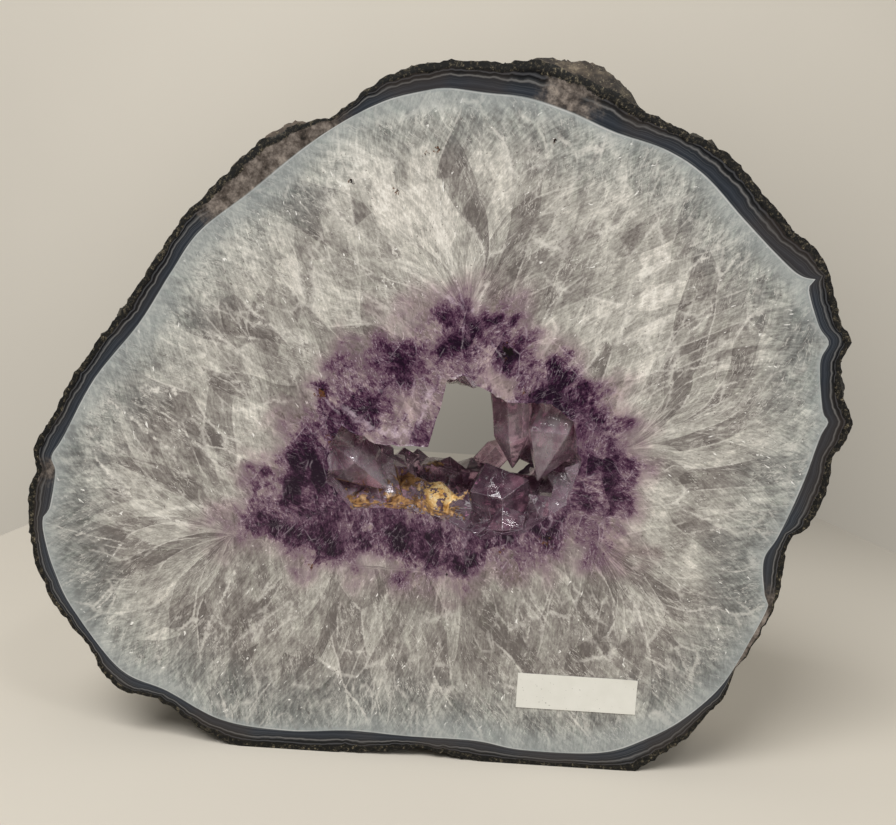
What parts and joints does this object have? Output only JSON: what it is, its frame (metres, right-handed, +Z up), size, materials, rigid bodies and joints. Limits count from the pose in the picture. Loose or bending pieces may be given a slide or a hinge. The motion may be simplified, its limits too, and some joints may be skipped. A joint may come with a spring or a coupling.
{
  "type": "amethyst geode slice",
  "caption": "Thick upright slice of a geode, polished in front, with a banded agate rim, milky quartz and an amethyst crystal-lined hollow right through it.",
  "frame": {"origin": "middle of the bounding box at the base that the slice stands on", "axes": "+Z up, the polished front faces -Y, +X to the right as seen from the front"},
  "size_m": [0.1874, 0.0366, 0.1608],
  "materials": {
    "geode_stone": "polished sawn faces with a rough dark rind",
    "amethyst_crystal": "bright natural crystal faces",
    "label_paper": "matt white paper"
  },
  "bodies": {
    "root": {"geode_slab": "geode_stone", "crystal_crust": "amethyst_crystal", "paper_label": "label_paper"}
  },
  "joints": []
}
